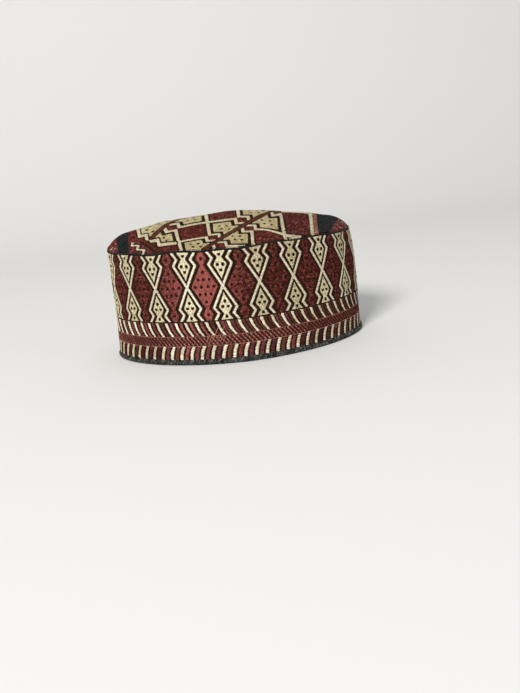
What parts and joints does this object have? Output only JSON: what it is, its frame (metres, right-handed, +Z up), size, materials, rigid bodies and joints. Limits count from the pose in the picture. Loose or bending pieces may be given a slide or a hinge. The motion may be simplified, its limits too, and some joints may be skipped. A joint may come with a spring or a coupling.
{
  "type": "hausa cap",
  "caption": "Soft embroidered cap with an upright oval side band, a low domed crown, a dark seam cord and a dark bound lower edge.",
  "frame": {"origin": "middle of the lower edge, on the surface that the cap rests on", "axes": "+X to the front of the cap, along its length; +Y to its left side; +Z up through the crown"},
  "size_m": [0.2118, 0.1624, 0.1105],
  "materials": {
    "crown_cloth": "close hand embroidery in cotton thread, matt",
    "seam_thread": "dark overcast thread",
    "band_cloth": "close hand embroidery in cotton thread, matt",
    "binding_cloth": "dark overcast binding"
  },
  "bodies": {
    "root": {"crown": "crown_cloth", "crown_seam": "seam_thread", "side_band": "band_cloth", "edge_binding": "binding_cloth"}
  },
  "joints": []
}
